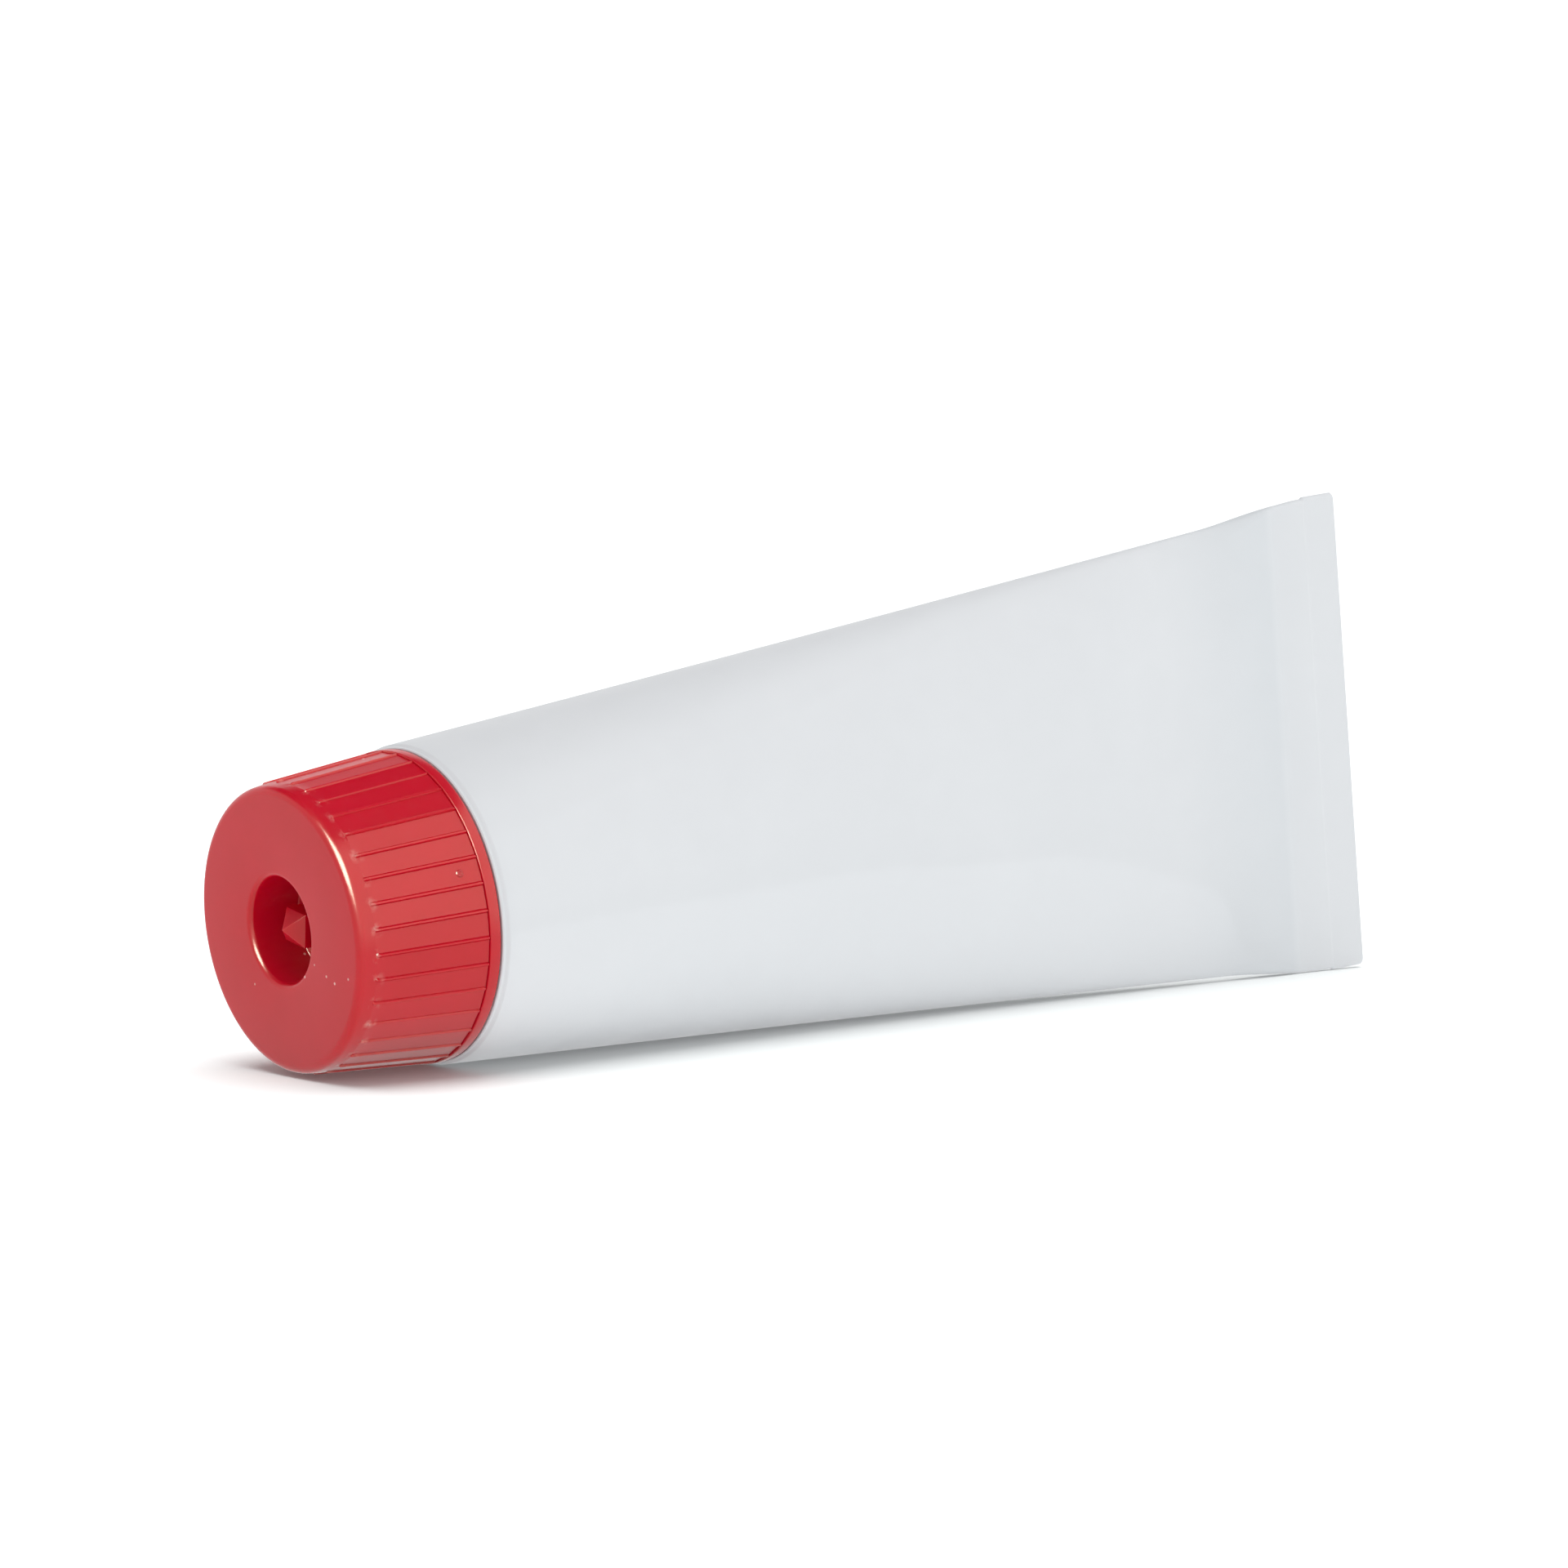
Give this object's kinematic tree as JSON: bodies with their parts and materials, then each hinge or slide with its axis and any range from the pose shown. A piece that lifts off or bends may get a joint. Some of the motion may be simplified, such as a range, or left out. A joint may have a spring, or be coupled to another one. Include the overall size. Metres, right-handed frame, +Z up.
{
  "type": "paint tube",
  "caption": "Blank plastic squeeze tube with a flat welded tail and a ribbed screw cap that has a piercing spike in its recessed front.",
  "frame": {"origin": "on the floor, in the middle of the tube's box as it lies on its lower edge", "axes": "+Z up, +X along the tube from the cap to the tail, +Y across the tube; the tube's own axis lies in the XZ plane and rises 4.7 degrees towards the tail"},
  "size_m": [0.1636, 0.038, 0.0605],
  "materials": {
    "sleeve_film": "satin white polyethylene film",
    "head_plastic": "natural white moulded polyethylene",
    "seal_foil": "thin bright foil",
    "wet_paint": "wet paint, the colour of the cap",
    "cap_plastic": "semi-gloss crimson moulded polypropylene",
    "liner_foam": "soft pale foam"
  },
  "bodies": {
    "tube": {"sleeve": "sleeve_film", "shoulder_and_nozzle": "head_plastic", "nozzle_foil_seal": "seal_foil", "paint": "wet_paint"},
    "liner": {"cap_liner": "liner_foam"},
    "cap": {"screw_cap": "cap_plastic"}
  },
  "joints": [
    {"name": "cap_rise", "type": "slide", "parent": "tube", "child": "liner", "axis": [-0.9967, 0, -0.0817], "range_m": [0, 0.006]},
    {"name": "cap_turn", "type": "hinge", "parent": "liner", "child": "cap", "pos_m": [-0.07156, 0, 0.01808], "axis": [-0.9967, 0, -0.0817], "range_deg": [0, 720]}
  ],
  "couplings": [
    {"joint": "cap_rise", "follows": "cap_turn", "m_per_rad": 0.00047746}
  ]
}
